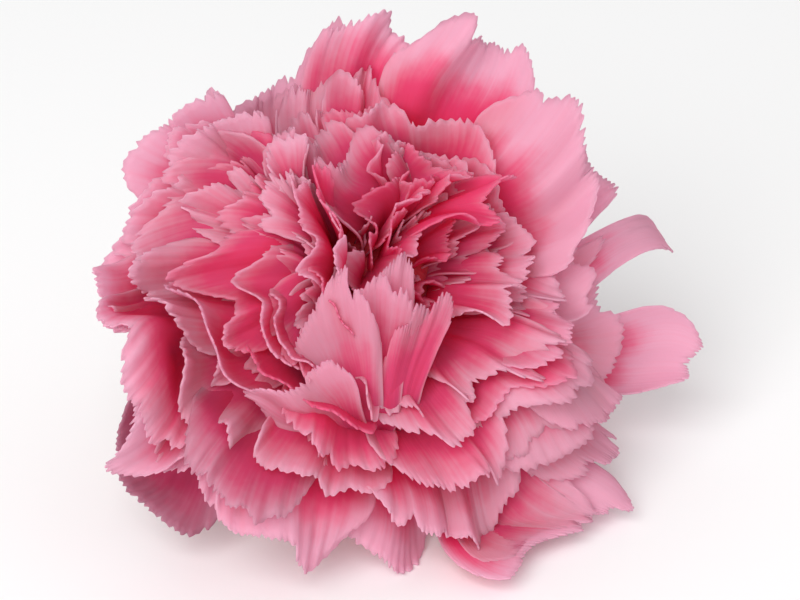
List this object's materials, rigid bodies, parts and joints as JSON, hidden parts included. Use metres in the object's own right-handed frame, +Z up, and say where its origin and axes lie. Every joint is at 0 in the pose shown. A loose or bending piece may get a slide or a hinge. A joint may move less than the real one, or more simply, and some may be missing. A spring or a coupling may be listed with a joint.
{
  "type": "cut carnation",
  "caption": "Double carnation bloom with crumpled, toothed petals in crowded layers on a slim calyx and a short cut stem, lying on the rim of its petals.",
  "frame": {"origin": "centre of the bounding box in plan, on the surface that the flower lies on", "axes": "+X is to the right and along the longest side, +Y points away from the open bloom to its back, +Z is up from the surface"},
  "size_m": [0.0868, 0.0712, 0.0678],
  "materials": {
    "petal": "matte",
    "calyx": "satin"
  },
  "bodies": {
    "root": {"bloom": "petal", "calyx_stem": "calyx"}
  },
  "joints": []
}
